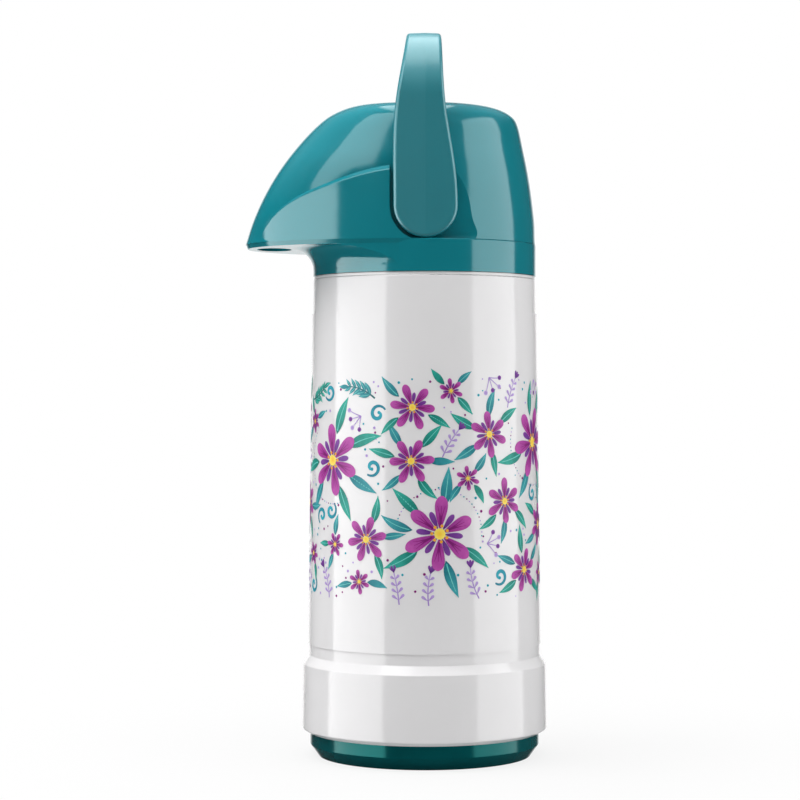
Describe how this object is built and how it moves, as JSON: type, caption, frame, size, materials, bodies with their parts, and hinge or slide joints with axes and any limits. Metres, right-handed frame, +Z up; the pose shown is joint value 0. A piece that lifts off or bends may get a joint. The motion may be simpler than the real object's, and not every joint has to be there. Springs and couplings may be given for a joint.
{
  "type": "pump pot",
  "caption": "Press-top vacuum pump pot: glass flask in a tapered case, hooded spout head with pump bellows and dip tube, and a bail handle that swings back.",
  "frame": {"origin": "centre of the flat underside that the pot stands on", "axes": "+Z up along the body's axis, -X towards the spout, Y along the bail's pivot"},
  "size_m": [0.1562, 0.1268, 0.3705],
  "materials": {
    "teal_plastic": "moulded polypropylene, glossy",
    "base_plastic": "moulded polypropylene, glossy",
    "white_plastic": "moulded polypropylene, glossy",
    "printed_film": null,
    "flask_glass": "blown and silvered glass",
    "seal_rubber": "moulded silicone",
    "cushion_rubber": "moulded rubber",
    "pump_plastic": "natural polypropylene",
    "spring_steel": "drawn stainless wire",
    "screw_steel": "stainless steel"
  },
  "bodies": {
    "pot": {"base_cap": "base_plastic", "body_shell": "white_plastic", "print_sleeve": "printed_film", "flask_outer_wall": "flask_glass", "flask_inner_wall": "flask_glass", "base_cushion": "cushion_rubber", "neck_ring": "white_plastic", "neck_gasket": "seal_rubber"},
    "head": {"spout_collar": "teal_plastic", "head_cover": "teal_plastic", "pump_deck": "pump_plastic", "mouth_seal": "seal_rubber", "dip_tube": "pump_plastic", "valve_housing": "pump_plastic", "spout_pipe": "pump_plastic", "spout_nozzle": "teal_plastic", "deck_screws": "screw_steel", "bellows": "seal_rubber", "bellows_clamp": "pump_plastic", "return_spring": "spring_steel"},
    "button": {"press_button": "teal_plastic", "bellows_plate": "pump_plastic", "air_valve": "seal_rubber"},
    "ball": {"check_ball": "spring_steel"},
    "handle": {"handle": "teal_plastic"}
  },
  "joints": [
    {"name": "head_lift", "type": "slide", "parent": "pot", "child": "head", "axis": [0, 0, 1], "range_m": [0, 0.26]},
    {"name": "button_press", "type": "slide", "parent": "head", "child": "button", "axis": [0, 0, -1], "range_m": [0, 0.02], "stiffness_N_per_m": 600, "springref_m": -0.01, "deforming": ["bellows", "return_spring"]},
    {"name": "check_ball_lift", "type": "slide", "parent": "head", "child": "ball", "axis": [0, 0, 1], "range_m": [0, 0.0025]},
    {"name": "handle_swing", "type": "hinge", "parent": "head", "child": "handle", "pos_m": [0, 0, 0.2805], "axis": [0, 1, 0], "range_deg": [0, 90]}
  ]
}
